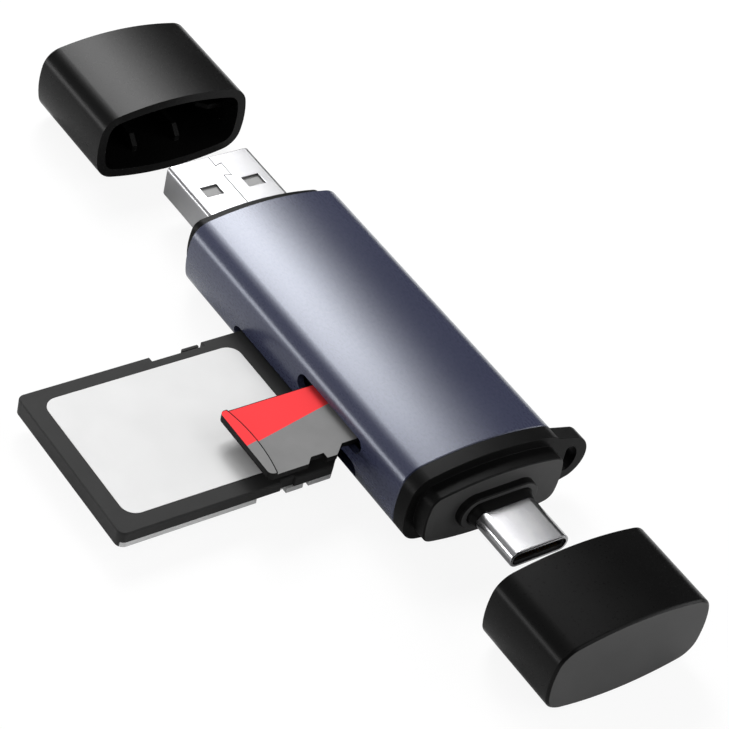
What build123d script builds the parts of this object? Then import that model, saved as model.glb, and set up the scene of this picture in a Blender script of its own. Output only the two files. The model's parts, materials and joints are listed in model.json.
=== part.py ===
from build123d import *
import os

# Memory card reader: a tube with a USB-A plug at its -X end and a USB-C plug at its +X end, a pull-off
# cap for each plug, and two memory cards that slide in from the -Y side. The origin lies on the belly,
# under the middle of the tube. All sizes are millimetres.

# Section shared by tube, end frames and caps: crowned top and belly, bulged sides, round corners
body_width = 22.0
body_height = 11.4
crown_rise = 1.3
side_bulge = 0.8
corner_radius = 3.0

# Fits
seat_gap = 0.03
slip_gap = 0.1
cap_gap = 0.15

# Aluminium tube
tube_length = 46.0
tube_wall = 0.9
tube_edge = 0.2

# Moulded end frames
spigot_length = 3.5
spigot_wall = 1.0
end_wall = 1.0
groove_depth = 0.5
usb_a_boss = 1.95
flange_thickness = 2.0
usb_c_boss = 2.15
pad_width = 11.0
pad_depth = 4.6
pad_height = 1.0
frame_edge = 0.15

# Lanyard lug on the flange
lug_reach = 4.0
lug_root = 3.0
lug_root_half = 4.6
lug_shoulder = 1.8
lug_shoulder_half = 3.05
lug_rim = 1.5
lug_hole_start = 0.65
lug_hole_half = 1.9
lug_hole_corner = 0.4

# USB-A plug
usb_a_width = 12.0
usb_a_height = 4.5
usb_a_wall = 0.3
usb_a_corner = 0.6
usb_a_length = 11.55
usb_a_tail = 6.0
usb_a_edge = 0.12
window_setback = 5.1
window_length = 1.95
window_width = 2.45
window_pitch = 6.15
seam_gap = 0.05
seam_tab_start = 1.9
seam_tab_length = 2.0
seam_tab_reach = 1.0
seam_tab_flare = 0.25
tongue_thickness = 1.85
tongue_setback = 0.6
blade_width = 1.1
blade_thickness = 0.2
blade_setback = 1.4
blade_pitches = (-3.5, -1.0, 1.0, 3.5)
blade_foot = 1.6

# USB-C plug
usb_c_width = 8.25
usb_c_height = 2.4
usb_c_wall = 0.35
usb_c_length = 6.65
usb_c_edge = 0.15
usb_c_inset = 0.3
collar_rim = 0.45
collar_height = 1.1
collar_seat = 1.0
collar_taper = 19.0
cavity_width = 6.7
cavity_height = 0.9
cavity_depth = 5.5
insulator_setback = 0.25
pin_count = 12
pin_pitch = 0.5
pin_width = 0.24
pin_thickness = 0.15
pin_setback = 0.2
pin_foot = 1.2
latch_thickness = 0.15
latch_height = 0.7
latch_length = 4.5

# Caps, drawn where they lie when pulled off
cap_wall = 1.2
cap_end = 0.9
cap_edge = 0.3
usb_a_tip_gap = 1.4
usb_c_tip_gap = 0.3
usb_a_cap_pull = 21.7
usb_c_cap_pull = 15.55
rib_thickness = 0.7
rib_pitch = 6.4
rib_setback = 3.2
rib_lead = 1.2

# Circuit board and what is soldered to it
board_thickness = 0.8
board_gap = 0.3
chip_size = 7.0
chip_height = 0.9
chip_inset = 8.9
chip_y = 1.5
crystal_length = 3.2
crystal_width = 2.5
crystal_height = 0.7
crystal_corner = 0.3
crystal_inset = 2.4
crystal_y = -4.5
capacitor_length = 1.6
capacitor_width = 0.8
capacitor_height = 0.8
capacitor_pitch = 2.4
capacitor_count = 4
capacitor_inset = 3.4
capacitor_y = 6.6

# SD card
sd_width = 24.0
sd_length = 32.0
sd_thickness = 2.1
sd_lower = 0.7
sd_skirt = 0.25
sd_corner = 1.0
sd_cut_corner = 4.0
sd_edge = 0.15
sd_x = 1.9
sd_entry = 1.85
lock_window_start = 17.65
lock_window_length = 7.1
lock_window_depth = 0.7
lock_tab_start = 21.85
lock_tab_length = 2.3
lock_tab_inset = 0.2
lock_tab_height = 1.9
lock_tab_corner = 0.18
lock_foot_depth = 0.9
lock_foot_height = 0.35
lock_foot_length = 1.8
notch_start = 21.0
notch_length = 1.9
notch_depth = 0.35
lower_recess_start = 17.9
lower_recess_length = 4.0
lower_notch_start = 24.2
lower_notch_length = 0.75
label_margin = 1.9
label_width = 19.85
label_rear = 2.2
label_length = 26.0
label_corner = 1.8
label_recess = 0.12
label_thickness = 0.1
sd_pad_count = 8
sd_pad_pitch = 2.5
sd_pad_width = 1.6
sd_pad_length = 4.4
sd_pad_thickness = 0.12
sd_pad_first = 2.2
sd_pad_setback = 1.2
sd_rib_side = 0.1
sd_last_pad_inset = 2.25
sd_last_pad_setback = 2.2

# SD slot and socket, hung under the board
sd_head_room = 1.05
sd_slot_side = 1.35
sd_slot_room = 0.25
sd_socket_wall = 1.25
sd_stop_wall = 1.0
sd_stop_inset = 2.8
spring_width = 0.7
spring_thickness = 0.2
spring_reach = 7.0

# microSD card
microsd_width = 11.0
microsd_length = 15.0
microsd_thickness = 0.7
microsd_lip = 0.3
microsd_lip_side = 1.0
microsd_lip_middle = 1.65
microsd_corner = 0.7
microsd_x = 9.5
microsd_entry = 2.95
microsd_narrow = 1.35
scoop_start = 5.2
scoop_length = 2.55
scoop_depth = 0.85
scoop_corner = 0.35
step_start = 9.1
step_end = 10.6
microsd_pad_count = 8
microsd_pad_pitch = 1.1
microsd_pad_width = 0.8
microsd_pad_length = 2.9
microsd_pad_setback = 0.7
microsd_pad_thickness = 0.06
microsd_pad_first = 1.15

# microSD slot and socket, on top of the board
microsd_floor = 0.45
microsd_slot_height = 2.1
microsd_slot_near = 0.3
microsd_slot_far = 2.0
microsd_socket_wall = 0.9
microsd_stop_wall = 0.8
microsd_stop_inset = 9.2
cover_thickness = 0.2
microsd_spring_width = 0.5
microsd_spring_thickness = 0.15
microsd_spring_reach = 4.5
microsd_spring_foot = 0.9

# Levels and stations that follow from the sizes above
axis_height = body_height / 2
half_width = body_width / 2
tube_end = tube_length / 2
spigot_inset = tube_wall + seat_gap
boss_inset = cap_wall + cap_gap
usb_a_face = -tube_end - usb_a_boss
usb_a_tip = usb_a_face - usb_a_length
usb_a_rear = -tube_end + usb_a_tail
flange_face = tube_end + flange_thickness
boss_face = flange_face + usb_c_boss
pad_face = boss_face + pad_height
collar_face = pad_face + collar_height
usb_c_tip = collar_face + usb_c_length
usb_c_rear = tube_end - usb_c_inset
board_top = axis_height + board_thickness / 2
board_under = axis_height - board_thickness / 2
board_width = 2 * (half_width - spigot_inset - spigot_wall + groove_depth - seat_gap)
board_left = -tube_end + end_wall + seat_gap
tongue_top = axis_height + usb_a_height / 2 - usb_a_wall - seat_gap
tongue_under = tongue_top - tongue_thickness
tongue_width = usb_a_width - 2 * (usb_a_wall + seat_gap)
blade_level = tongue_under - blade_thickness / 2
foot_level = board_top + blade_thickness / 2
foot_start = usb_a_rear + foot_level - blade_level
foot_end = foot_start + blade_foot
board_right = usb_c_rear - board_gap
sd_top = board_under - sd_head_room
sd_bottom = sd_top - sd_thickness
sd_left = sd_x - sd_width / 2
sd_rear = sd_entry - half_width - sd_length
microsd_bottom = board_top + microsd_floor + seat_gap
microsd_left = microsd_x - microsd_width / 2
microsd_rear = microsd_entry - half_width - microsd_length
sd_stop = half_width - sd_stop_inset
microsd_stop = half_width - microsd_stop_inset


def cross_plane(x):
    # plane across the body at x, with Y to its right and Z up, centred on the body's axis
    return Plane(origin=(x, 0, axis_height), x_dir=(0, 1, 0), z_dir=(1, 0, 0))


def body_section(x, inset=0.0):
    # the shared section at x, drawn in from the outer surface by inset
    with BuildSketch(cross_plane(x)) as section:
        with BuildLine():
            corner_y = half_width - side_bulge
            corner_z = axis_height - crown_rise
            ThreePointArc((-corner_y, corner_z), (0, axis_height), (corner_y, corner_z))
            ThreePointArc((corner_y, corner_z), (half_width, 0), (corner_y, -corner_z))
            ThreePointArc((corner_y, -corner_z), (0, -axis_height), (-corner_y, -corner_z))
            ThreePointArc((-corner_y, -corner_z), (-half_width, 0), (-corner_y, corner_z))
        make_face()
        fillet(section.vertices(), corner_radius)
        if inset:
            offset(amount=-inset, mode=Mode.REPLACE)
    return section.sketch


def save(piece, name):
    piece.part.label = name
    export_step(piece.part, f"parts/{name}.step")


os.makedirs("parts", exist_ok=True)

# Tube, with an obround slot for each card through its -Y side
with BuildPart() as outer_tube:
    extrude(body_section(-tube_end), amount=tube_length)
    rims = outer_tube.edges().group_by(Axis.X)
    chamfer(rims[0] + rims[-1], tube_edge)
    extrude(body_section(-tube_end, tube_wall), amount=tube_length, mode=Mode.SUBTRACT)
    with BuildSketch(Plane(origin=(0, -half_width, 0), x_dir=(1, 0, 0), z_dir=(0, -1, 0))):
        with Locations((sd_x, sd_bottom + sd_thickness / 2)):
            SlotOverall(sd_width + 2 * sd_slot_side, sd_thickness + 2 * sd_slot_room)
        slot_length = microsd_slot_far + microsd_width + microsd_slot_near
        slot_middle = microsd_left - microsd_slot_far + slot_length / 2
        with Locations((slot_middle, microsd_bottom + microsd_thickness / 2)):
            SlotOverall(slot_length, microsd_slot_height)
    extrude(amount=-half_width, mode=Mode.SUBTRACT)
save(outer_tube, "outer_tube")

# End frame of the USB-A plug: a hollow spigot in the tube and a boss that the cap fits round
with BuildPart() as usb_a_end_frame:
    extrude(body_section(-tube_end, boss_inset), amount=-usb_a_boss)
    chamfer(usb_a_end_frame.edges().group_by(Axis.X)[0], frame_edge)
    extrude(body_section(-tube_end, spigot_inset), amount=spigot_length)
    hollow = spigot_length - end_wall
    extrude(
        body_section(-tube_end + end_wall, spigot_inset + spigot_wall),
        amount=hollow,
        mode=Mode.SUBTRACT,
    )
    with BuildSketch(cross_plane(usb_a_face)):
        RectangleRounded(
            usb_a_width + 2 * seat_gap, usb_a_height + 2 * seat_gap, usb_a_corner + seat_gap
        )
    extrude(amount=usb_a_boss + end_wall, mode=Mode.SUBTRACT)
    with BuildSketch(cross_plane(-tube_end + end_wall)):
        Rectangle(board_width + 2 * seat_gap, board_thickness + 2 * seat_gap)
    extrude(amount=hollow, mode=Mode.SUBTRACT)
save(usb_a_end_frame, "usb_a_end_frame")

# End frame of the USB-C plug: spigot, flange with a lanyard lug, boss for the cap, and a raised pad
with BuildPart() as usb_c_end_frame:
    extrude(body_section(tube_end), amount=flange_thickness)
    lug_tip = half_width + lug_reach
    with BuildSketch(cross_plane(tube_end)):
        with BuildLine():
            root = half_width - lug_root
            shoulder = lug_tip - lug_shoulder
            Polyline((shoulder, -lug_shoulder_half), (root, -lug_root_half), (root, lug_root_half),
                     (shoulder, lug_shoulder_half))
            ThreePointArc((shoulder, lug_shoulder_half), (lug_tip, 0), (shoulder, -lug_shoulder_half))
        make_face()
    extrude(amount=flange_thickness)
    with BuildSketch(cross_plane(tube_end)) as lug_hole:
        with BuildLine():
            hole_start = half_width + lug_hole_start
            hole_tip = lug_tip - lug_rim
            hole_bend = (hole_start + hole_tip) / 2
            Polyline((hole_bend, -lug_hole_half), (hole_start, -lug_hole_half),
                     (hole_start, lug_hole_half), (hole_bend, lug_hole_half))
            ThreePointArc((hole_bend, lug_hole_half), (hole_tip, 0), (hole_bend, -lug_hole_half))
        make_face()
        fillet(lug_hole.vertices(), lug_hole_corner)
    extrude(amount=flange_thickness, mode=Mode.SUBTRACT)
    extrude(body_section(flange_face, boss_inset), amount=usb_c_boss)
    chamfer(usb_c_end_frame.edges().group_by(Axis.X)[-1], frame_edge)
    with BuildSketch(cross_plane(boss_face)):
        SlotOverall(pad_width, pad_depth)
    extrude(amount=pad_height)
    chamfer(usb_c_end_frame.edges().group_by(Axis.X)[-1], frame_edge)
    extrude(body_section(tube_end, spigot_inset), amount=-spigot_length)
    extrude(
        body_section(tube_end, spigot_inset + spigot_wall), amount=-spigot_length, mode=Mode.SUBTRACT
    )
    with BuildSketch(cross_plane(tube_end)):
        SlotOverall(usb_c_width + 2 * seat_gap, usb_c_height + 2 * seat_gap)
    extrude(amount=pad_face - tube_end, mode=Mode.SUBTRACT)
    with BuildSketch(cross_plane(boss_face - collar_seat)):
        SlotOverall(
            usb_c_width + 2 * (collar_rim + seat_gap), usb_c_height + 2 * (collar_rim + seat_gap)
        )
    extrude(amount=pad_height + collar_seat, mode=Mode.SUBTRACT)
    with BuildSketch(cross_plane(tube_end)):
        Rectangle(board_width + 2 * seat_gap, board_thickness + 2 * seat_gap)
    extrude(amount=-spigot_length, mode=Mode.SUBTRACT)
save(usb_c_end_frame, "usb_c_end_frame")

# Sleeve round the USB-C plug, seated in the pad and tapering to the plug in front of it
with BuildPart() as usb_c_collar:
    collar_rear = boss_face - collar_seat + seat_gap
    with BuildSketch(cross_plane(collar_rear)):
        SlotOverall(usb_c_width + 2 * collar_rim, usb_c_height + 2 * collar_rim)
    extrude(amount=pad_face - collar_rear)
    with BuildSketch(cross_plane(pad_face)):
        SlotOverall(usb_c_width + 2 * collar_rim, usb_c_height + 2 * collar_rim)
    extrude(amount=collar_height, taper=collar_taper)
    with BuildSketch(cross_plane(collar_rear)):
        SlotOverall(usb_c_width + 2 * seat_gap, usb_c_height + 2 * seat_gap)
    extrude(amount=collar_face - collar_rear, mode=Mode.SUBTRACT)
save(usb_c_collar, "usb_c_collar")

# USB-A shell: a folded sheet with windows top and bottom and a dovetailed seam along its top
with BuildPart() as usb_a_shell:
    shell_length = usb_a_rear - usb_a_tip
    with BuildSketch(cross_plane(usb_a_tip)):
        RectangleRounded(usb_a_width, usb_a_height, usb_a_corner)
    extrude(amount=shell_length)
    chamfer(usb_a_shell.edges().group_by(Axis.X)[0], usb_a_edge)
    with BuildSketch(cross_plane(usb_a_tip)):
        RectangleRounded(
            usb_a_width - 2 * usb_a_wall, usb_a_height - 2 * usb_a_wall, usb_a_corner - usb_a_wall
        )
    extrude(amount=shell_length, mode=Mode.SUBTRACT)
    with BuildSketch(Plane.XY.offset(axis_height)):
        with Locations((usb_a_tip + window_setback + window_length / 2, 0)):
            with GridLocations(0, window_pitch, 1, 2):
                Rectangle(window_length, window_width)
    extrude(amount=usb_a_height, both=True, mode=Mode.SUBTRACT)
    with BuildSketch(Plane(origin=(usb_a_tip, 0, axis_height))):
        with BuildLine():
            tab_end = seam_tab_start + seam_tab_length
            Polyline((-usb_a_wall, 0), (seam_tab_start, 0),
                     (seam_tab_start - seam_tab_flare, seam_tab_reach),
                     (tab_end + seam_tab_flare, seam_tab_reach),
                     (tab_end, 0), (shell_length + usb_a_wall, 0))
        trace(line_width=seam_gap)
    extrude(amount=usb_a_height, mode=Mode.SUBTRACT)
save(usb_a_shell, "usb_a_shell")

# USB-A insulator: a tongue along the top of the shell and a block that closes the shell's rear
with BuildPart() as usb_a_tongue:
    with BuildSketch(Plane(origin=(0, 0, tongue_top))):
        with Locations(((usb_a_tip + tongue_setback + usb_a_rear) / 2, 0)):
            Rectangle(usb_a_rear - usb_a_tip - tongue_setback, tongue_width)
    extrude(amount=-tongue_thickness)
    chamfer(usb_a_tongue.faces().sort_by(Axis.X)[0].edges().sort_by(Axis.Z)[0], usb_a_wall)
    with BuildSketch(cross_plane(usb_a_face)):
        Rectangle(tongue_width, usb_a_height - 2 * (usb_a_wall + seat_gap))
    extrude(amount=usb_a_rear - usb_a_face)
    fillet(usb_a_tongue.edges().filter_by(Axis.X).group_by(Axis.Z)[-1], usb_a_corner - usb_a_wall)
    fillet(usb_a_tongue.edges().filter_by(Axis.X).group_by(Axis.Z)[0], usb_a_corner - usb_a_wall)
    with BuildSketch(Plane(origin=(0, 0, tongue_under))):
        with Locations(*[(usb_a_tip + blade_setback, y) for y in blade_pitches]):
            Rectangle(usb_a_rear - usb_a_tip, blade_width, align=(Align.MIN, Align.CENTER))
    extrude(amount=-blade_thickness, mode=Mode.SUBTRACT)
save(usb_a_tongue, "usb_a_tongue")

# Four blades under the tongue, each with a foot bent up onto the board
with BuildPart() as usb_a_contacts:
    for y in blade_pitches:
        with BuildSketch(Plane.XZ.offset(-y)):
            with BuildLine():
                Polyline((usb_a_tip + blade_setback, blade_level), (usb_a_rear, blade_level),
                         (foot_start, foot_level), (foot_end, foot_level))
            trace(line_width=blade_thickness)
        extrude(amount=blade_width / 2, both=True)
save(usb_a_contacts, "usb_a_contacts")

# USB-C shell: an obround drawn tube
with BuildPart() as usb_c_shell:
    with BuildSketch(cross_plane(usb_c_rear)):
        SlotOverall(usb_c_width, usb_c_height)
    extrude(amount=usb_c_tip - usb_c_rear)
    fillet(usb_c_shell.edges().group_by(Axis.X)[-1], usb_c_edge)
    with BuildSketch(cross_plane(usb_c_rear)):
        SlotOverall(usb_c_width - 2 * usb_c_wall, usb_c_height - 2 * usb_c_wall)
    extrude(amount=usb_c_tip - usb_c_rear, mode=Mode.SUBTRACT)
save(usb_c_shell, "usb_c_shell")

# Two rows of USB-C pins, straight from the mouth back over the board's faces
pin_tip = usb_c_tip - insulator_setback - pin_setback
pin_foot_end = board_right - pin_foot
with BuildPart() as usb_c_contacts:
    with BuildSketch(cross_plane(pin_foot_end)):
        with GridLocations(pin_pitch, board_thickness + pin_thickness, pin_count, 2):
            Rectangle(pin_width, pin_thickness)
    extrude(amount=pin_tip - pin_foot_end)
save(usb_c_contacts, "usb_c_contacts")

# Springs that latch the plug, one at each side of the mouth
latch_y = cavity_width / 2
with BuildPart() as usb_c_latch_springs:
    with BuildSketch(cross_plane(pin_tip)):
        with Locations((latch_y, 0), (-latch_y, 0)):
            Rectangle(2 * latch_thickness, latch_height)
    extrude(amount=-latch_length)
save(usb_c_latch_springs, "usb_c_latch_springs")

# USB-C insulator: fills the shell behind an open mouth, with channels for pins and springs
with BuildPart() as usb_c_insulator:
    insulator_tip = usb_c_tip - insulator_setback
    lining = 2 * (usb_c_wall + seat_gap)
    with BuildSketch(cross_plane(usb_c_rear)):
        SlotOverall(usb_c_width - lining, usb_c_height - lining)
    extrude(amount=insulator_tip - usb_c_rear)
    with BuildSketch(cross_plane(insulator_tip)):
        Rectangle(cavity_width, cavity_height)
    extrude(amount=-cavity_depth, mode=Mode.SUBTRACT)
    add(usb_c_contacts.part, mode=Mode.SUBTRACT)
    add(usb_c_latch_springs.part, mode=Mode.SUBTRACT)
save(usb_c_insulator, "usb_c_insulator")

# Cap of the USB-A plug, with ribs that grip the plug's shell on all four sides
usb_a_cap_mouth = -tube_end - usb_a_cap_pull
usb_a_cap_length = usb_a_boss + usb_a_length + usb_a_tip_gap + cap_end
with BuildPart() as usb_a_cap:
    extrude(body_section(usb_a_cap_mouth), amount=-usb_a_cap_length)
    chamfer(usb_a_cap.edges().group_by(Axis.X)[0], cap_edge)
    cavity = usb_a_cap_length - cap_end
    extrude(body_section(usb_a_cap_mouth, cap_wall), amount=-cavity, mode=Mode.SUBTRACT)
    rib_length = cavity - rib_setback
    grip = slip_gap + usb_a_height / 2
    for side in (1, -1):
        for y in (rib_pitch / 2, -rib_pitch / 2):
            with BuildSketch(Plane(origin=(usb_a_cap_mouth - rib_setback, y, axis_height),
                                   x_dir=(-1, 0, 0), z_dir=(0, side, 0))):
                with BuildLine():
                    wall_z = axis_height - cap_wall / 2 - crown_rise * (rib_pitch / body_width) ** 2
                    Polyline((0, wall_z), (0, grip + rib_lead), (rib_lead, grip), (rib_length, grip),
                             (rib_length, wall_z), close=True)
                make_face()
            extrude(amount=rib_thickness / 2, both=True)
        with BuildSketch(Plane(origin=(usb_a_cap_mouth - rib_setback, 0, axis_height),
                               x_dir=(-1, 0, 0), z_dir=(0, 0, side))):
            with BuildLine():
                side_grip = slip_gap + usb_a_width / 2
                wall_y = half_width - cap_wall / 2
                Polyline((0, wall_y), (0, side_grip + rib_lead), (rib_lead, side_grip),
                         (rib_length, side_grip), (rib_length, wall_y), close=True)
            make_face()
        extrude(amount=rib_thickness / 2, both=True)
save(usb_a_cap, "usb_a_cap")

# Cap of the USB-C plug
usb_c_cap_mouth = flange_face + usb_c_cap_pull
usb_c_cap_length = usb_c_tip - flange_face + usb_c_tip_gap + cap_end
with BuildPart() as usb_c_cap:
    extrude(body_section(usb_c_cap_mouth), amount=usb_c_cap_length)
    chamfer(usb_c_cap.edges().group_by(Axis.X)[-1], cap_edge)
    extrude(
        body_section(usb_c_cap_mouth, cap_wall), amount=usb_c_cap_length - cap_end, mode=Mode.SUBTRACT
    )
save(usb_c_cap, "usb_c_cap")

# Circuit board, notched round the USB-A plug and held by its edges in the end frames
with BuildPart() as circuit_board:
    with BuildSketch(Plane.XY.offset(board_under)):
        with Locations(((board_left + board_right) / 2, 0)):
            Rectangle(board_right - board_left, board_width)
        with Locations((board_left, 0)):
            Rectangle(
                2 * (foot_start + slip_gap - board_left), usb_a_width + 2 * slip_gap, mode=Mode.SUBTRACT
            )
    extrude(amount=board_thickness)
save(circuit_board, "circuit_board")

# Controller, crystal and capacitors on the board's top
with BuildPart() as controller_chip:
    with BuildSketch(Plane.XY.offset(board_top)):
        with Locations((foot_end + chip_inset, chip_y)):
            Rectangle(chip_size, chip_size)
    extrude(amount=chip_height)
    chamfer(controller_chip.edges().group_by(Axis.Z)[-1], slip_gap)
save(controller_chip, "controller_chip")

with BuildPart() as crystal:
    with BuildSketch(Plane.XY.offset(board_top)):
        with Locations((foot_end + crystal_inset, crystal_y)):
            RectangleRounded(crystal_length, crystal_width, crystal_corner)
    extrude(amount=crystal_height)
save(crystal, "crystal")

with BuildPart() as capacitors:
    with BuildSketch(Plane.XY.offset(board_top)):
        with Locations((foot_end + capacitor_inset, capacitor_y)):
            with GridLocations(capacitor_pitch, 0, capacitor_count, 1):
                Rectangle(capacitor_width, capacitor_length)
    extrude(amount=capacitor_height)
save(capacitors, "capacitors")

# Stations of the SD contacts across the card, the last one set back behind the cut corner
sd_pads = [(sd_pad_first + number * sd_pad_pitch, sd_pad_setback) for number in range(sd_pad_count)]
sd_pads.append((sd_width - sd_last_pad_inset, sd_pad_setback + sd_last_pad_setback))


def sd_outline(level):
    # the card's outline with its cut front corner and the window of the lock tab
    with BuildSketch(Plane(origin=(sd_left, sd_rear, level))) as outline:
        with BuildLine():
            Polyline((0, 0), (sd_width, 0), (sd_width, sd_length - sd_cut_corner),
                     (sd_width - sd_cut_corner, sd_length), (0, sd_length), close=True)
        make_face()
        fillet(outline.vertices().group_by(Axis.Y)[0], sd_corner)
        fillet(outline.vertices().group_by(Axis.Y)[-1].sort_by(Axis.X)[0], sd_corner)
        with Locations((0, lock_window_start + lock_window_length / 2)):
            Rectangle(2 * lock_window_depth, lock_window_length, mode=Mode.SUBTRACT)
    return outline.sketch


# SD card, upper shell: the plate with a shallow recess for the label and a skirt at the finger end
sd_parting = sd_bottom + sd_lower
lock_middle = lock_tab_start + lock_tab_length / 2
with BuildPart() as sd_card_upper_shell:
    extrude(sd_outline(sd_bottom), amount=sd_thickness)
    with BuildSketch(Plane(origin=(sd_left, sd_rear, sd_bottom))):
        with Locations((sd_width, notch_start + notch_length / 2)):
            Rectangle(2 * notch_depth, notch_length)
    extrude(amount=sd_thickness, mode=Mode.SUBTRACT)
    chamfer(sd_card_upper_shell.edges().group_by(Axis.Z)[-1], sd_edge)
    with BuildSketch(Plane(origin=(sd_x, sd_rear + sd_skirt, sd_bottom))):
        Rectangle(2 * sd_width, sd_length, align=(Align.CENTER, Align.MIN))
    extrude(amount=sd_lower, mode=Mode.SUBTRACT)
    with BuildSketch(Plane(origin=(sd_left, sd_rear, sd_top))):
        with Locations((label_margin + label_width / 2, label_rear + label_length / 2)):
            RectangleRounded(label_width, label_length, label_corner)
    extrude(amount=-label_recess, mode=Mode.SUBTRACT)
save(sd_card_upper_shell, "sd_card_upper_shell")

# SD card, lower shell: ribbed pockets for the contacts, a groove for the lock tab's foot
with BuildPart() as sd_card_lower_shell:
    extrude(sd_outline(sd_bottom), amount=sd_lower)
    split(bisect_by=Plane(origin=(0, sd_rear + sd_skirt, 0), z_dir=(0, 1, 0)), keep=Keep.TOP)
    with BuildSketch(Plane(origin=(sd_left, sd_rear, sd_bottom))):
        with Locations((sd_width, lower_recess_start)):
            Rectangle(2 * lock_window_depth, lower_recess_length, align=(Align.CENTER, Align.MIN))
        with Locations((sd_width, lower_notch_start)):
            Rectangle(2 * lock_window_depth, lower_notch_length, align=(Align.CENTER, Align.MIN))
        for u, setback in sd_pads:
            with Locations((u, sd_length)):
                pocket = sd_pad_length + setback + sd_rib_side
                Rectangle(sd_pad_width + 2 * sd_rib_side, 2 * pocket)
    extrude(amount=sd_lower, mode=Mode.SUBTRACT)
    with BuildSketch(Plane(origin=(sd_left, sd_rear, sd_parting))):
        with Locations((lock_window_depth, lock_window_start + lock_window_length / 2)):
            Rectangle(2 * (lock_foot_depth + slip_gap), lock_window_length)
    extrude(amount=-lock_foot_height - slip_gap, mode=Mode.SUBTRACT)
save(sd_card_lower_shell, "sd_card_lower_shell")

# SD card, paper label in its recess
with BuildPart() as sd_card_label:
    with BuildSketch(Plane(origin=(sd_left, sd_rear, sd_top - label_recess))):
        with Locations((label_margin + label_width / 2, label_rear + label_length / 2)):
            RectangleRounded(
                label_width - 2 * seat_gap, label_length - 2 * seat_gap, label_corner - seat_gap
            )
    extrude(amount=label_thickness)
save(sd_card_label, "sd_card_label")

# SD card, contact pads on the underside of the upper shell
with BuildPart() as sd_card_contacts:
    with BuildSketch(Plane(origin=(sd_left, sd_rear, sd_parting))):
        for u, setback in sd_pads:
            with Locations((u, sd_length - setback - sd_pad_length / 2)):
                Rectangle(sd_pad_width, sd_pad_length)
    extrude(amount=-sd_pad_thickness)
save(sd_card_contacts, "sd_card_contacts")

# SD card, lock tab: a thumb piece in the window with a foot captured between the shells
with BuildPart() as sd_card_lock_tab:
    foot_top = sd_parting - slip_gap / 2
    tab_under = sd_bottom + (sd_thickness - lock_tab_height) / 2
    tab_depth = lock_window_depth - lock_tab_inset - slip_gap / 2
    with BuildSketch(Plane(origin=(sd_left, sd_rear, tab_under))):
        with Locations((lock_tab_inset + tab_depth / 2, lock_middle)):
            RectangleRounded(tab_depth, lock_tab_length, lock_tab_corner)
    extrude(amount=lock_tab_height)
    with BuildSketch(Plane(origin=(sd_left, sd_rear, foot_top))):
        tab_root = lock_tab_inset + tab_depth / 2
        foot_reach = lock_window_depth + lock_foot_depth - tab_root
        with Locations((tab_root + foot_reach / 2, lock_middle)):
            Rectangle(foot_reach, lock_foot_length)
    extrude(amount=-lock_foot_height)
save(sd_card_lock_tab, "sd_card_lock_tab")

# SD socket: a moulded tray under the board that follows the belly of the tube, open to the slot
socket_left = sd_left - slip_gap - sd_socket_wall
socket_length = sd_width + 2 * (slip_gap + sd_socket_wall)
spring_level = sd_bottom - slip_gap / 2
spring_rear = sd_stop + slip_gap + spring_thickness
spring_stations = [sd_left + u for u, setback in sd_pads]


def sd_spring(station):
    # outline of one contact spring, along the socket's floor and up behind the card to the board
    with BuildSketch(Plane.YZ.offset(station)) as outline:
        with BuildLine():
            Polyline((spring_rear, board_under), (spring_rear, spring_level),
                     (spring_rear - spring_reach, spring_level),
                     (spring_rear - spring_reach, spring_level - spring_thickness),
                     (spring_rear + spring_thickness, spring_level - spring_thickness),
                     (spring_rear + spring_thickness, board_under), close=True)
        make_face()
    return outline.sketch


with BuildPart() as sd_socket_contacts:
    for station in spring_stations:
        extrude(sd_spring(station), amount=spring_width / 2, both=True)
save(sd_socket_contacts, "sd_socket_contacts")

with BuildPart() as sd_socket:
    extrude(body_section(socket_left, tube_wall + slip_gap), amount=socket_length)
    split(bisect_by=Plane.XY.offset(board_under), keep=Keep.BOTTOM)
    stop_face = sd_stop + slip_gap + spring_thickness + sd_stop_wall
    split(bisect_by=Plane(origin=(0, stop_face, 0), z_dir=(0, 1, 0)), keep=Keep.BOTTOM)
    with BuildSketch(Plane.XY.offset(sd_bottom - slip_gap / 2)):
        with Locations((sd_x, sd_stop + slip_gap)):
            Rectangle(sd_width + 2 * slip_gap, body_width, align=(Align.CENTER, Align.MAX))
    extrude(amount=sd_thickness + slip_gap, mode=Mode.SUBTRACT)
    add(sd_socket_contacts.part, mode=Mode.SUBTRACT)
save(sd_socket, "sd_socket")

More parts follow.
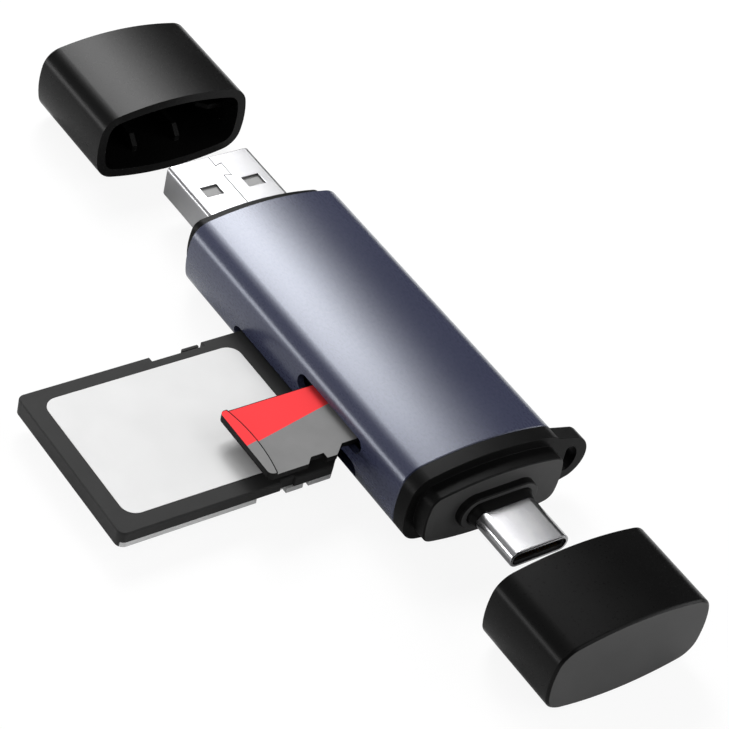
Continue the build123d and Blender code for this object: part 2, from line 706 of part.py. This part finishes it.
# microSD card: narrow front, scoop and step on its +X edge, and a raised lip at the finger end
with BuildPart() as microsd_card:
    with BuildSketch(Plane(origin=(microsd_left, microsd_rear, microsd_bottom))) as microsd_outline:
        with BuildLine():
            scoop_end = scoop_start + scoop_length
            scoop_floor = microsd_width - scoop_depth
            narrow = microsd_width - microsd_narrow
            Polyline((0, 0), (microsd_width, 0), (microsd_width, scoop_start),
                     (scoop_floor, scoop_start + scoop_depth), (scoop_floor, scoop_end),
                     (microsd_width, scoop_end), (microsd_width, step_start), (narrow, step_end),
                     (narrow, microsd_length), (0, microsd_length), close=True)
        make_face()
        fillet(microsd_outline.vertices().group_by(Axis.Y)[0], microsd_corner)
        fillet(microsd_outline.vertices().group_by(Axis.Y)[-1], microsd_corner)
        scoop_x = microsd_left + scoop_floor
        corners = microsd_outline.vertices()
        fillet(corners.filter_by_position(Axis.X, scoop_x - seat_gap, scoop_x + seat_gap), scoop_corner)
    extrude(amount=microsd_thickness)
    microsd_top = microsd_bottom + microsd_thickness
    with BuildSketch(Plane(origin=(microsd_left, microsd_rear, microsd_top))) as lip:
        with BuildLine():
            Polyline((0, microsd_lip_side), (0, 0), (microsd_width, 0), (microsd_width, microsd_lip_side))
            ThreePointArc((microsd_width, microsd_lip_side), (microsd_width / 2, microsd_lip_middle),
                          (0, microsd_lip_side))
        make_face()
        fillet(lip.vertices().group_by(Axis.Y)[0], microsd_corner)
    extrude(amount=microsd_lip)
    with BuildSketch(Plane(origin=(microsd_left, microsd_rear, microsd_bottom))):
        for number in range(microsd_pad_count):
            with Locations((microsd_pad_first + number * microsd_pad_pitch,
                            microsd_length - microsd_pad_setback - microsd_pad_length / 2)):
                Rectangle(microsd_pad_width, microsd_pad_length)
    extrude(amount=microsd_pad_thickness, mode=Mode.SUBTRACT)
save(microsd_card, "microsd_card")

# microSD card, contact pads let into its underside
with BuildPart() as microsd_card_contacts:
    with BuildSketch(Plane(origin=(microsd_left, microsd_rear, microsd_bottom))):
        for number in range(microsd_pad_count):
            with Locations((microsd_pad_first + number * microsd_pad_pitch,
                            microsd_length - microsd_pad_setback - microsd_pad_length / 2)):
                Rectangle(microsd_pad_width, microsd_pad_length)
    extrude(amount=microsd_pad_thickness)
save(microsd_card_contacts, "microsd_card_contacts")

# microSD socket: a moulded tray on the board and a folded steel cover over it
bay_left = microsd_left - slip_gap
bay_width = microsd_width + 2 * slip_gap
bay_roof = microsd_bottom + microsd_thickness + slip_gap
tray_left = bay_left - microsd_socket_wall
tray_width = bay_width + 2 * microsd_socket_wall
tray_front = tube_wall + slip_gap - half_width + side_bulge
tray_back = microsd_stop + slip_gap + microsd_stop_wall
pin_level = board_top + microsd_floor - microsd_spring_thickness / 2

with BuildPart() as microsd_socket_contacts:
    for number in range(microsd_pad_count):
        station = microsd_left + microsd_pad_first + number * microsd_pad_pitch
        with BuildSketch(Plane.YZ.offset(station)):
            with BuildLine():
                foot_height = board_top + microsd_spring_thickness / 2
                Polyline((tray_back - microsd_spring_reach, pin_level), (tray_back, pin_level),
                         (tray_back + pin_level - foot_height, foot_height),
                         (tray_back + pin_level - foot_height + microsd_spring_foot, foot_height))
            trace(line_width=microsd_spring_thickness)
        extrude(amount=microsd_spring_width / 2, both=True)
save(microsd_socket_contacts, "microsd_socket_contacts")

with BuildPart() as microsd_socket_base:
    with BuildSketch(Plane(origin=(tray_left, tray_front, board_top))):
        Rectangle(tray_width, tray_back - tray_front, align=(Align.MIN, Align.MIN))
    extrude(amount=bay_roof - board_top)
    with BuildSketch(Plane(origin=(bay_left, tray_front, board_top + microsd_floor))):
        Rectangle(
            bay_width, 2 * (microsd_stop + slip_gap - tray_front), align=(Align.MIN, Align.CENTER)
        )
    extrude(amount=body_height, mode=Mode.SUBTRACT)
    add(microsd_socket_contacts.part, mode=Mode.SUBTRACT)
save(microsd_socket_base, "microsd_socket_base")

with BuildPart() as microsd_socket_cover:
    with BuildSketch(Plane(origin=(tray_left + tray_width / 2, tray_front, board_top), x_dir=(1, 0, 0),
                           z_dir=(0, -1, 0))):
        cover_width = tray_width + 2 * (cover_thickness + seat_gap)
        cover_height = bay_roof + seat_gap + cover_thickness - board_top
        Rectangle(cover_width, cover_height, align=(Align.CENTER, Align.MIN))
        Rectangle(
            tray_width + 2 * seat_gap, cover_height - cover_thickness, align=(Align.CENTER, Align.MIN),
            mode=Mode.SUBTRACT
        )
    extrude(amount=tray_front - tray_back)
    fillet(microsd_socket_cover.edges().filter_by(Axis.Y).group_by(Axis.Z)[-1], cover_thickness / 2)
save(microsd_socket_cover, "microsd_socket_cover")
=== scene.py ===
import json
from math import cos, radians, sin

import bmesh
import bpy
from mathutils import Matrix, Vector

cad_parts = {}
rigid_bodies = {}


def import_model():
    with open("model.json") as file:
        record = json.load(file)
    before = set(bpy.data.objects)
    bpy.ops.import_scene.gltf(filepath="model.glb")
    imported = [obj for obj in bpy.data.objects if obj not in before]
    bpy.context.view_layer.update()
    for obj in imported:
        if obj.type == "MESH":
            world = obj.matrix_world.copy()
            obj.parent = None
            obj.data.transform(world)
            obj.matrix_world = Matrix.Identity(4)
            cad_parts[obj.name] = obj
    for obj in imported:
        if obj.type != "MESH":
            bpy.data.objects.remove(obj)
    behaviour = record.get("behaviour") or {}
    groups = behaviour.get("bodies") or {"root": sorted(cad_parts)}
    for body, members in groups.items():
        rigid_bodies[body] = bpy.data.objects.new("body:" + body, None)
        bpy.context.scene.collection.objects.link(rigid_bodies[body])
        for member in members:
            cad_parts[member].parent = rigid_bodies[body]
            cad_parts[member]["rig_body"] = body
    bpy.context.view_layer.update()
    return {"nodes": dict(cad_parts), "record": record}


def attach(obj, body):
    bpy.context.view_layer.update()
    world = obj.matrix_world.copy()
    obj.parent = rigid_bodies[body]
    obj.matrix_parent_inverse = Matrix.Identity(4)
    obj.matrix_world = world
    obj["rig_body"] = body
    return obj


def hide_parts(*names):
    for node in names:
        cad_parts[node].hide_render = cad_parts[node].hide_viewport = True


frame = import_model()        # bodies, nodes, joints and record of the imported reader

mm = 0.001
micron = 0.000001
slotOf = {row["node"]: row["material_slot"] for row in frame["record"]["subparts"]}
scene = bpy.context.scene
scene.view_settings.view_transform = "Standard"
print("frame loaded,", len(slotOf), "nodes")


def linear(hexColour):
    # sRGB hex to the linear colour that Blender works in
    channels = [int(hexColour[i:i + 2], 16) / 255 for i in (1, 3, 5)]
    return [c / 12.92 if c <= 0.04045 else ((c + 0.055) / 1.055) ** 2.4 for c in channels] + [1.0]


def addNode(tree, kind, settings={}, values={}, links={}):
    node = tree.nodes.new(kind)
    for name, value in settings.items():
        setattr(node, name, value)
    for socket, value in values.items():
        node.inputs[socket].default_value = value
    for socket, source in links.items():
        tree.links.new(source, node.inputs[socket])
    return node


def maths(tree, operation, values={}, links={}):
    # one step of arithmetic, its inputs given by their place
    return addNode(tree, "ShaderNodeMath", {"operation": operation}, values, links).outputs[0]


def newMaterial(name, values):
    # a principled finish with its fixed values set, and the part's own coordinates in metres
    material = bpy.data.materials.new(name)
    material.use_nodes = True
    tree = material.node_tree
    tree.nodes.clear()
    shader = addNode(tree, "ShaderNodeBsdfPrincipled", values=values)
    addNode(tree, "ShaderNodeOutputMaterial", links={"Surface": shader.outputs["BSDF"]})
    place = addNode(tree, "ShaderNodeTexCoord").outputs["Object"]
    return material, tree, shader, place


def insideOf(material):
    # the nodes that a finish with more to it goes on from
    tree = material.node_tree
    place = tree.nodes["Texture Coordinate"].outputs["Object"]
    return tree, tree.nodes["Principled BSDF"], tree.nodes["Color Ramp"].outputs["Color"], place


grainLook = {"stops": (0.35, 0.65), "patchDetail": 3, "grainDetail": 2}


def grainFinish(name, look):
    # the base of all finishes here: two close colours in soft patches, a grain in gloss and relief
    material, tree, shader, place = newMaterial(name, look["shader"])
    patches = addNode(tree, "ShaderNodeTexNoise", links={"Vector": place},
                      values={"Scale": 1 / look["patch"], "Detail": grainLook["patchDetail"]})
    shade = addNode(tree, "ShaderNodeValToRGB", links={"Fac": patches.outputs["Fac"]})
    for stop, position, colour in zip(shade.color_ramp.elements, grainLook["stops"], look["colours"]):
        stop.position = position
        stop.color = linear(colour)
    tree.links.new(shade.outputs["Color"], shader.inputs["Base Color"])
    stretch = addNode(tree, "ShaderNodeMapping", values={"Scale": look.get("stretch", (1, 1, 1))},
                      links={"Vector": place})
    grain = addNode(tree, "ShaderNodeTexNoise", links={"Vector": stretch.outputs["Vector"]},
                    values={"Scale": 1 / look["grain"], "Detail": grainLook["grainDetail"]})
    least, most = look["roughness"]
    gloss = addNode(tree, "ShaderNodeMapRange", values={"To Min": least, "To Max": most},
                    links={"Value": grain.outputs["Fac"]})
    tree.links.new(gloss.outputs["Result"], shader.inputs["Roughness"])
    relief = addNode(tree, "ShaderNodeBump", values={"Distance": look["relief"], "Strength": 1.0},
                     links={"Height": grain.outputs["Fac"]})
    tree.links.new(relief.outputs["Normal"], shader.inputs["Normal"])
    return material


# anodised aluminium: extruded, blasted and dyed blue-grey, a satin metal under a thin clear skin
anodised = grainFinish("anodised_aluminium", {
    "shader": {"Metallic": 0.2, "IOR": 1.5, "Specular IOR Level": 0.31, "Specular Tint": linear("#f3faf0"),
               "Coat Weight": 0.28, "Coat Roughness": 0.26},
    "colours": ("#32354a", "#35384d"), "patch": 9 * mm, "grain": 0.25 * mm, "stretch": (0.5, 1, 1),
    "roughness": (0.265, 0.285), "relief": 0.02 * micron})

# ABS caps: injection moulded in a polished tool, deep black with a soft shine
capAbs = grainFinish("black_abs_polished", {
    "shader": {"IOR": 1.5, "Specular IOR Level": 0.065}, "colours": ("#0b0b0b", "#0e0e0e"),
    "patch": 6 * mm, "grain": 0.3 * mm, "roughness": (0.26, 0.30), "relief": 0.3 * micron})

# end faces of the caps and of the USB-C frame: the same black, spark-eroded to a rougher grain, given a
# lighter grey as painted light on these faces
litEndAbs = grainFinish("black_abs_eroded_painted_light", {
    "shader": {"IOR": 1.5, "Specular IOR Level": 0.2}, "colours": ("#383838", "#3c3c3c"),
    "patch": 6 * mm, "grain": 0.15 * mm, "roughness": (0.56, 0.64), "relief": 1.5 * micron})

# ABS frames: the same black moulding, a little duller than the caps
frameAbs = grainFinish("black_abs_satin", {
    "shader": {"IOR": 1.5, "Specular IOR Level": 0.05}, "colours": ("#0c0c0c", "#0f0f0f"),
    "patch": 4 * mm, "grain": 0.2 * mm, "roughness": (0.36, 0.44), "relief": 1.2 * micron})


def platedSteel(name, look):
    # nickel-plated steel with faint drawing lines along the plug, bowed a little in the shading
    # crown: the fall towards the sides over the square of the distance; lean: the rise along X
    material = grainFinish(name, {
        "shader": {"Metallic": 1.0}, "colours": look["colours"], "patch": 3 * mm, "grain": 0.12 * mm,
        "stretch": (0.08, 1, 1), "roughness": look["roughness"], "relief": 0.25 * micron})
    tree, shader, plating, place = insideOf(material)
    axes = addNode(tree, "ShaderNodeSeparateXYZ", links={"Vector": place}).outputs
    square = maths(tree, "MULTIPLY", links={0: axes["Y"], 1: axes["Y"]})
    rise = maths(tree, "MULTIPLY", {1: look["lean"]}, {0: axes["X"]})
    fall = maths(tree, "MULTIPLY_ADD", {1: -look["crown"]}, {0: square, 2: rise})
    bow = addNode(tree, "ShaderNodeBump", values={"Distance": 1.0, "Strength": 1.0}, links={"Height": fall})
    tree.links.new(bow.outputs["Normal"], tree.nodes["Bump"].inputs["Normal"])
    return material


# drawn steel of the USB-C plug, and folded sheet of the USB-A plug; the sheet is the same plating set darker
# as painted shade, so that its strongly lit top stays below white
drawnSteel = platedSteel("nickel_plated_drawn_steel", {
    "colours": ("#98989a", "#9e9e9f"), "roughness": (0.18, 0.24), "crown": 5.0, "lean": 0.08})
shadedPlugSteel = platedSteel("nickel_plated_steel_painted_shade", {
    "colours": ("#868688", "#8c8c8d"), "roughness": (0.29, 0.33), "crown": 4.0, "lean": 0.0})

# on the top of the folded sheet a darker band along both sides of the dovetailed seam is painted shade of the
# seam's gap
seamLook = {"middle": -33.6 * mm, "half": 1.0 * mm, "flare": 0.25, "reach": 1.0 * mm, "edge": 0.05 * mm,
            "above": 7.6 * mm, "darkLine": "#737374"}
tree, shader, plating, place = insideOf(shadedPlugSteel)
axes = tree.nodes["Separate XYZ"].outputs
along = maths(tree, "SUBTRACT", {1: seamLook["middle"]}, {0: axes["X"]})
apart = maths(tree, "ABSOLUTE", links={0: along})
wide = maths(tree, "MULTIPLY_ADD", {1: seamLook["flare"], 2: seamLook["half"]}, {0: axes["Y"]})
flank = maths(tree, "SUBTRACT", links={0: apart, 1: wide})
head = maths(tree, "SUBTRACT", {1: seamLook["reach"]}, {0: axes["Y"]})
tab = maths(tree, "MAXIMUM", links={0: head, 1: flank})
joint = maths(tree, "MINIMUM", links={0: axes["Y"], 1: tab})
onSeam = maths(tree, "COMPARE", {1: 0.0, 2: seamLook["edge"]}, {0: joint})
onTop = maths(tree, "GREATER_THAN", {1: seamLook["above"]}, {0: axes["Z"]})
# painted shade: the seam's gap drawn darker on the top face
seamShade = maths(tree, "MULTIPLY", links={0: onSeam, 1: onTop})
sheet = addNode(tree, "ShaderNodeMix", {"data_type": "RGBA"}, {7: linear(seamLook["darkLine"])},
                {0: seamShade, 6: plating}).outputs[2]
tree.links.new(sheet, shader.inputs["Base Color"])

# spring steel of the socket cover and the latches
socketSteel = grainFinish("spring_steel", {
    "shader": {"Metallic": 1.0}, "colours": ("#9a9a9c", "#a4a4a5"), "patch": 3 * mm, "grain": 0.15 * mm,
    "stretch": (1, 0.1, 1), "roughness": (0.24, 0.34), "relief": 0.4 * micron})

# glass-filled nylon insulator of the USB-A plug, pale grey and matte
tonguePlastic = grainFinish("pale_nylon", {
    "shader": {"IOR": 1.53, "Specular IOR Level": 0.2}, "colours": ("#888888", "#909090"),
    "patch": 2 * mm, "grain": 0.15 * mm, "roughness": (0.45, 0.6), "relief": 2 * micron})

# black glass-filled nylon of the sockets
socketPlastic = grainFinish("black_nylon", {
    "shader": {"IOR": 1.53}, "colours": ("#101010", "#141414"), "patch": 2 * mm, "grain": 0.15 * mm,
    "roughness": (0.45, 0.6), "relief": 2 * micron})

# gold flash over nickel on the contacts
contactGold = grainFinish("gold_flash", {
    "shader": {"Metallic": 1.0}, "colours": ("#d9ab4e", "#e0b65c"), "patch": 1 * mm, "grain": 0.08 * mm,
    "stretch": (1, 0.15, 1), "roughness": (0.2, 0.3), "relief": 0.3 * micron})

# glass-epoxy board under black solder mask, with the weave just showing
boardLaminate = grainFinish("solder_mask_black", {
    "shader": {"IOR": 1.55, "Specular IOR Level": 0.3}, "colours": ("#0b0d0f", "#101214"),
    "patch": 1.2 * mm, "grain": 0.3 * mm, "roughness": (0.32, 0.42), "relief": 3 * micron})

# moulded epoxy of the controller
chipEpoxy = grainFinish("moulded_epoxy", {
    "shader": {"IOR": 1.55}, "colours": ("#161616", "#1c1c1c"), "patch": 1 * mm, "grain": 0.08 * mm,
    "roughness": (0.55, 0.7), "relief": 3 * micron})

# pressed nickel silver can of the crystal
crystalCan = grainFinish("nickel_silver", {
    "shader": {"Metallic": 1.0}, "colours": ("#b5b3ab", "#bebcb4"), "patch": 1 * mm, "grain": 0.1 * mm,
    "roughness": (0.25, 0.35), "relief": 0.4 * micron})

# fired ceramic of the capacitors
capacitorCeramic = grainFinish("fired_ceramic", {
    "shader": {"IOR": 1.6}, "colours": ("#9b7b5a", "#a88764"), "patch": 0.6 * mm, "grain": 0.1 * mm,
    "roughness": (0.4, 0.5), "relief": 2 * micron})

# polycarbonate card shells, spark-eroded to a fine matte grain
cardBlack = grainFinish("matte_polycarbonate_black", {
    "shader": {"IOR": 1.55, "Specular IOR Level": 0.1}, "colours": ("#262626", "#292929"),
    "patch": 5 * mm, "grain": 0.18 * mm, "roughness": (0.56, 0.64), "relief": 2.5 * micron})
cardGrey = grainFinish("matte_polycarbonate_grey", {
    "shader": {"IOR": 1.55}, "colours": ("#b2b2b2", "#bababa"), "patch": 5 * mm, "grain": 0.18 * mm,
    "roughness": (0.5, 0.58), "relief": 2.5 * micron})

# coated paper label, white with a faint fibre
cardLabel = grainFinish("coated_paper", {
    "shader": {"IOR": 1.45, "Specular IOR Level": 0.2}, "colours": ("#d2d2d2", "#d6d6d6"),
    "patch": 7 * mm, "grain": 0.2 * mm, "roughness": (0.6, 0.7), "relief": 1.5 * micron})

# black epoxy of the microSD card, ground flat at the edges
cardEpoxy = grainFinish("moulded_card_epoxy", {
    "shader": {"IOR": 1.5, "Specular IOR Level": 0.1}, "colours": ("#0c0c0c", "#101010"),
    "patch": 2 * mm, "grain": 0.12 * mm, "roughness": (0.5, 0.6), "relief": 1.5 * micron})

# screen print on the microSD card: a red and a grey field meet on a slant
# a thin black line along the raised lip is painted shadow of its step, and along the card's left side the
# black epoxy shows unprinted
printLook = {"start": (10.0 * mm, -23.05 * mm), "slant": -0.2, "red": "#ec3d41",
             "lipCentre": (9.5 * mm, -44.99 * mm, 0), "lipRadius": 23.52 * mm, "line": 0.08 * mm,
             "side": 4.0 * mm, "border": 0.12 * mm, "darkLine": "#0c0c0c"}
cardPrint = grainFinish("screen_print", {
    "shader": {"IOR": 1.5, "Specular IOR Level": 0.05}, "colours": ("#7a7a7a", "#7e7e7e"),
    "patch": 3 * mm, "grain": 0.2 * mm, "roughness": (0.6, 0.7), "relief": 1 * micron})
tree, shader, greyField, place = insideOf(cardPrint)
axes = addNode(tree, "ShaderNodeSeparateXYZ", links={"Vector": place}).outputs
startX, startY = printLook["start"]
meeting = maths(tree, "MULTIPLY_ADD",
                {1: printLook["slant"], 2: startX - printLook["slant"] * startY}, {0: axes["Y"]})
inRed = maths(tree, "LESS_THAN", links={0: axes["X"], 1: meeting})
fields = addNode(tree, "ShaderNodeMix", {"data_type": "RGBA"}, {7: linear(printLook["red"])},
                 {0: inRed, 6: greyField}).outputs[2]
flat = addNode(tree, "ShaderNodeVectorMath", {"operation": "MULTIPLY"}, {1: (1, 1, 0)}, {0: place}).outputs[0]
reach = addNode(tree, "ShaderNodeVectorMath", {"operation": "DISTANCE"}, {1: printLook["lipCentre"]},
                {0: flat}).outputs[1]
# painted shadow: a thin black arc where the raised lip steps down
onLipShade = maths(tree, "COMPARE", {1: printLook["lipRadius"], 2: printLook["line"]}, {0: reach})
onBorder = maths(tree, "COMPARE", {1: printLook["side"], 2: printLook["border"]}, {0: axes["X"]})
unprintedOrShaded = maths(tree, "MAXIMUM", links={0: onLipShade, 1: onBorder})
printed = addNode(tree, "ShaderNodeMix", {"data_type": "RGBA"}, {7: linear(printLook["darkLine"])},
                  {0: unprintedOrShaded, 6: fields}).outputs[2]
tree.links.new(printed, shader.inputs["Base Color"])

finishes = {
    "anodised_aluminium": anodised, "frame_abs": frameAbs, "cap_abs": capAbs, "plug_steel": shadedPlugSteel,
    "socket_steel": socketSteel, "tongue_plastic": tonguePlastic, "socket_plastic": socketPlastic,
    "contact_gold": contactGold, "board_laminate": boardLaminate, "chip_epoxy": chipEpoxy,
    "crystal_can": crystalCan, "capacitor_ceramic": capacitorCeramic, "card_black": cardBlack,
    "card_grey": cardGrey, "card_label": cardLabel, "card_print": cardPrint}
for name, node in frame["nodes"].items():
    node.data.materials.clear()
    node.data.materials.append(finishes[slotOf[name]])
frame["nodes"]["usb_c_shell"].data.materials[0] = drawnSteel
print("finishes made,", len(finishes))

softLook = {"merge": 1 * micron, "level": 0.2, "facing": 0.99, "profile": 0.5, "weight": 100}


def softCopy(nodeName, edge):
    # a merged copy of a solid with its hard edges rounded, standing in for it
    bm = bmesh.new()
    bm.from_mesh(frame["nodes"][nodeName].data)
    bmesh.ops.remove_doubles(bm, verts=bm.verts, dist=softLook["merge"])
    bmesh.ops.dissolve_limit(bm, angle_limit=radians(softLook["level"]), verts=bm.verts, edges=bm.edges)
    mesh = bpy.data.meshes.new(edge["name"])
    mesh.materials.append(edge.get("finish", finishes[slotOf[nodeName]]))
    if "zone" in edge:   # the flat faces that look one way, past a distance along that way
        mesh.materials.append(edge["zone"]["finish"])
        axis = Vector(edge["zone"]["axis"])
        for face in bm.faces:
            past = face.calc_center_median().dot(axis) > edge["zone"]["past"]
            if past and face.normal.dot(axis) > softLook["facing"]:
                face.material_index = 1
    hard = [e for e in bm.edges if e.is_manifold and e.calc_face_angle() > radians(edge["angle"])]
    bmesh.ops.bevel(bm, geom=hard, offset=edge["radius"], offset_type="OFFSET", affect="EDGES",
                    segments=edge["segments"], profile=softLook["profile"], material=-1, clamp_overlap=True)
    bm.to_mesh(mesh)
    bm.free()
    if "custom_normal" in mesh.attributes:
        mesh.attributes.remove(mesh.attributes["custom_normal"])
    mesh.shade_smooth()
    piece = bpy.data.objects.new(edge["name"], mesh)
    scene.collection.objects.link(piece)
    weighted = piece.modifiers.new("flatFaces", "WEIGHTED_NORMAL")
    weighted.keep_sharp = True
    weighted.weight = softLook["weight"]
    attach(piece, frame["nodes"][nodeName]["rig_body"])
    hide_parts(nodeName)


softEdges = {   # angle: degrees past which an edge counts as hard
    "outer_tube": {"name": "tubeSoft", "radius": 0.05 * mm, "segments": 2, "angle": 25},
    # zone: the end faces get the lighter grey of painted light; on the microSD card the top gets the print
    "usb_a_cap": {"name": "usbACapSoft", "radius": 0.08 * mm, "segments": 3, "angle": 25,
                  "zone": {"finish": litEndAbs, "axis": (-1, 0, 0), "past": 58 * mm}},
    "usb_c_cap": {"name": "usbCCapSoft", "radius": 0.08 * mm, "segments": 3, "angle": 25,
                  "zone": {"finish": litEndAbs, "axis": (1, 0, 0), "past": 50 * mm}},
    "usb_a_end_frame": {"name": "usbAFrameSoft", "radius": 0.05 * mm, "segments": 2, "angle": 25},
    "usb_c_end_frame": {"name": "usbCFrameSoft", "radius": 0.05 * mm, "segments": 2, "angle": 25,
                        "zone": {"finish": litEndAbs, "axis": (1, 0, 0), "past": 26 * mm}},
    "usb_c_collar": {"name": "usbCCollarSoft", "radius": 0.02 * mm, "segments": 2, "angle": 25},
    "usb_a_shell": {"name": "usbAShellSoft", "radius": 0.06 * mm, "segments": 2, "angle": 30},
    "sd_card_upper_shell": {"name": "sdUpperSoft", "radius": 0.06 * mm, "segments": 2, "angle": 25},
    "sd_card_lower_shell": {"name": "sdLowerSoft", "radius": 0.05 * mm, "segments": 2, "angle": 25},
    "sd_card_lock_tab": {"name": "sdLockSoft", "radius": 0.06 * mm, "segments": 2, "angle": 25},
    "microsd_card": {"name": "microSdSoft", "radius": 0.05 * mm, "segments": 2, "angle": 25,
                     "finish": cardEpoxy, "zone": {"finish": cardPrint, "axis": (0, 0, 1), "past": 0}},
}
for nodeName, edge in softEdges.items():
    softCopy(nodeName, edge)
print("edges softened,", len(softEdges), "pieces")

# white paper floor
floorLook = {"half": 2.0, "cells": 8, "seen": 0.9, "mirrored": 0.1}
bm = bmesh.new()
bmesh.ops.create_grid(bm, size=floorLook["half"],
                      x_segments=floorLook["cells"], y_segments=floorLook["cells"])
floorMesh = bpy.data.meshes.new("floor")
bm.to_mesh(floorMesh)
bm.free()
paper = grainFinish("studio_paper", {
    "shader": {"Specular IOR Level": 0.0}, "colours": ("#f4f4f4", "#f8f8f8"), "patch": 60 * mm,
    "grain": 2 * mm, "roughness": (0.9, 1.0), "relief": 1 * micron})
# seen straight or in metal the paper is part plain white, so that only a faint shadow is left on it
tree, shader, shade, place = insideOf(paper)
ray = addNode(tree, "ShaderNodeLightPath").outputs
seen = maths(tree, "MULTIPLY", {1: floorLook["seen"]}, {0: ray["Is Camera Ray"]})
mirrored = maths(tree, "MAXIMUM", links={0: ray["Is Glossy Ray"], 1: ray["Is Transmission Ray"]})
share = maths(tree, "MULTIPLY_ADD", {1: floorLook["mirrored"]}, {0: mirrored, 2: seen})
white = addNode(tree, "ShaderNodeEmission", values={"Strength": 1.0})
mix = addNode(tree, "ShaderNodeMixShader",
              links={0: share, 1: shader.outputs["BSDF"], 2: white.outputs["Emission"]})
tree.links.new(mix.outputs["Shader"], tree.nodes["Material Output"].inputs["Surface"])
floorMesh.materials.append(paper)
floor = bpy.data.objects.new("floor", floorMesh)
scene.collection.objects.link(floor)

# lamps: three boxes one over the other make the soft streak on the crown, a low one lights the near corner
lamps = {   # towards: place of the lamp from the reader; size: along and across it; glow: its radiance
    "coreSoftbox": {"towards": (-0.332, 0.128, 0.351), "size": (0.21, 0.116), "glow": 9.8},
    "midSoftbox": {"towards": (-0.345, 0.101, 0.376), "size": (0.21, 0.32), "glow": 5.1},
    "haloSoftbox": {"towards": (-0.359, 0.084, 0.395), "size": (0.22, 0.54), "glow": 1.6},
    "cornerSoftbox": {"towards": (-0.29, -0.40, 0.045), "size": (0.50, 0.085), "glow": 8.8},
    "sideSoftbox": {"towards": (-0.40, -0.30, 0.36), "size": (0.45, 0.45), "glow": 0.4},
    "edgeSoftbox": {"towards": (0.37, 0.15, 0.30), "size": (0.17, 0.17), "glow": 2.5},
    "endSoftbox": {"towards": (0.38, 0.34, 0.12), "size": (0.40, 0.18), "glow": 5.0},
    "backSoftbox": {"towards": (0.15, 0.42, 0.48), "size": (0.50, 0.35), "glow": 0.8},
    "fillSoftbox": {"towards": (0.25, -0.55, 0.60), "size": (0.60, 0.60), "glow": 1.0},
}
for name, lamp in lamps.items():
    light = bpy.data.lights.new(name, "AREA")
    light.shape = "RECTANGLE"
    light.size, light.size_y = lamp["size"]
    light.energy = 4 * light.size * light.size_y * lamp["glow"]   # watts that give the glow
    out = Vector(lamp["towards"]).normalized()
    along = (Vector((1, 0, 0)) - out.x * out).normalized()
    lampObject = bpy.data.objects.new(name, light)
    turn = Matrix((along, out.cross(along), out)).transposed().to_4x4()
    lampObject.matrix_world = Matrix.Translation(lamp["towards"]) @ turn
    scene.collection.objects.link(lampObject)

roomLook = {"Color": linear("#ffffff"), "Strength": 0.08}
world = bpy.data.worlds.new("studio")
world.use_nodes = True
for socket, value in roomLook.items():
    world.node_tree.nodes["Background"].inputs[socket].default_value = value
scene.world = world

# camera of the photograph, as angles round the reader and a distance along the line of sight
view = {"azimuth": 46.962, "elevation": 40.584, "roll": 13.985, "distance": 0.32274,
        "right": 1.194 * mm, "up": 2.565 * mm, "lens": 132.54, "sensor": 36.0, "nearest": 0.01}
azimuth, elevation, roll = (radians(view[k]) for k in ("azimuth", "elevation", "roll"))
back = Vector((sin(azimuth) * cos(elevation), -cos(azimuth) * cos(elevation), sin(elevation)))
level = Vector((cos(azimuth), sin(azimuth), 0))
right = cos(roll) * level + sin(roll) * back.cross(level)
up = back.cross(right)
camera = bpy.data.objects.new("camera", bpy.data.cameras.new("camera"))
camera.data.lens = view["lens"]
camera.data.sensor_width = view["sensor"]
camera.data.clip_start = view["nearest"]
turn = Matrix((right, up, back)).transposed().to_4x4()
spot = view["distance"] * back + view["right"] * right + view["up"] * up
camera.matrix_world = Matrix.Translation(spot) @ turn
scene.collection.objects.link(camera)
scene.camera = camera
print("studio ready")
